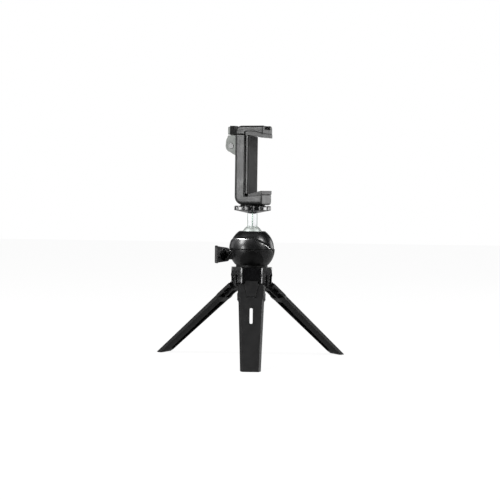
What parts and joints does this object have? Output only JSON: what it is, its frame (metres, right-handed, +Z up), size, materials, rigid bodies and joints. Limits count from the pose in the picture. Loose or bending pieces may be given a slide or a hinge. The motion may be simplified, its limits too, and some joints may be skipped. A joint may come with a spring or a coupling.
{
  "type": "phone tripod",
  "caption": "Tabletop phone tripod: folding legs on a hub, a lockable ball head that pans and drops to the side, and a sliding-jaw clamp that holds a phone upright.",
  "frame": {"origin": "bottom centre of the bounding box, on the floor between the feet", "axes": "+Z up; the front leg points along -Y and the phone clamp opens towards +X, turned to the front"},
  "size_m": [0.1866, 0.1616, 0.2242],
  "materials": {
    "leg_black": "fine spark-textured moulding, matte",
    "hub_black": "polished moulding",
    "ring_black": "smooth, satin",
    "housing_black": "satin moulding",
    "knob_black": "satin moulding",
    "disc_black": "polished moulding",
    "holder_grey": "satin moulding",
    "insert_black": "smooth, satin",
    "rubber": "pebbled",
    "grip_black": "ribbed",
    "chrome": "mirror polished",
    "steel": "turned, zinc plated",
    "light_metal": "stamped sheet, bright",
    "brass": "turned",
    "nylon": "natural, waxy"
  },
  "bodies": {
    "base": {"hub": "hub_black", "neck_ring": "ring_black", "leg_pins": "steel"},
    "leg_front": {"leg_front": "leg_black"},
    "leg_right": {"leg_right": "leg_black"},
    "leg_left": {"leg_left": "leg_black"},
    "head": {"head_screw": "steel", "screw_washer": "steel", "lower_shell": "housing_black", "front_boss_cap": "housing_black", "crescent_collar": "housing_black", "upper_cap": "housing_black", "ball_seat": "nylon"},
    "wedge": {"wedge_nut": "brass"},
    "knob": {"lock_screw": "steel", "lock_knob": "knob_black"},
    "ball": {"ball": "chrome", "hex_stem": "chrome", "camera_screw": "steel"},
    "disc": {"lock_disc": "disc_black"},
    "holder": {"holder_foot": "ring_black", "thread_insert": "brass", "holder_body": "holder_grey", "pad_plate": "holder_grey", "rubber_pad": "rubber", "plate_screws": "steel", "lower_jaw_insert": "insert_black", "lock_bracket": "light_metal", "lever_pin": "steel"},
    "upper_jaw": {"upper_jaw": "holder_grey", "upper_jaw_insert": "insert_black"},
    "lever": {"lock_lever": "light_metal", "lever_grip": "grip_black"},
    "stud": {"clamp_stud": "steel"}
  },
  "joints": [
    {"name": "leg_front_fold", "type": "hinge", "parent": "base", "child": "leg_front", "pos_m": [0, 0.01013, 0.0735], "axis": [1, 0, 0], "range_deg": [0, 52]},
    {"name": "leg_right_fold", "type": "hinge", "parent": "base", "child": "leg_right", "pos_m": [0.01091, 0.02903, 0.0735], "axis": [-0.5, 0.866, 0], "range_deg": [0, 52]},
    {"name": "leg_left_fold", "type": "hinge", "parent": "base", "child": "leg_left", "pos_m": [-0.01091, 0.02903, 0.0735], "axis": [-0.5, -0.866, 0], "range_deg": [0, 52]},
    {"name": "head_pan", "type": "hinge", "parent": "base", "child": "head", "pos_m": [0, 0.02273, 0.091], "axis": [0, 0, 1], "continuous": true},
    {"name": "knob_turn", "type": "hinge", "parent": "head", "child": "knob", "pos_m": [0, 0.02273, 0.1007], "axis": [-0.9659, -0.2588, 0], "range_deg": [0, 270]},
    {"name": "wedge_slide", "type": "slide", "parent": "head", "child": "wedge", "axis": [0.9659, 0.2588, 0], "range_m": [0, 0.00076]},
    {"name": "ball_tilt", "type": "hinge", "parent": "head", "child": "ball", "pos_m": [0, 0.02273, 0.119], "axis": [-0.8241, 0.5664, 0], "range_deg": [-30, 90]},
    {"name": "disc_turn", "type": "hinge", "parent": "ball", "child": "disc", "pos_m": [0, 0.02273, 0.145], "axis": [0, 0, 1], "continuous": true},
    {"name": "holder_turn", "type": "hinge", "parent": "ball", "child": "holder", "pos_m": [0, 0.02273, 0.15], "axis": [0, 0, 1], "continuous": true},
    {"name": "jaw_slide", "type": "slide", "parent": "holder", "child": "upper_jaw", "axis": [0, 0, 1], "range_m": [0, 0.029]},
    {"name": "lever_swing", "type": "hinge", "parent": "holder", "child": "lever", "pos_m": [-0.01976, 0.03194, 0.20485], "axis": [-0.4226, -0.9063, 0], "range_deg": [0, 110]},
    {"name": "stud_slide", "type": "slide", "parent": "holder", "child": "stud", "axis": [-0.9063, 0.4226, 0], "range_m": [0, 0.0002]}
  ],
  "couplings": [
    {"joint": "wedge_slide", "follows": "knob_turn", "m_per_rad": 0.000159},
    {"joint": "stud_slide", "follows": "lever_swing", "m_per_rad": 0.0001}
  ]
}
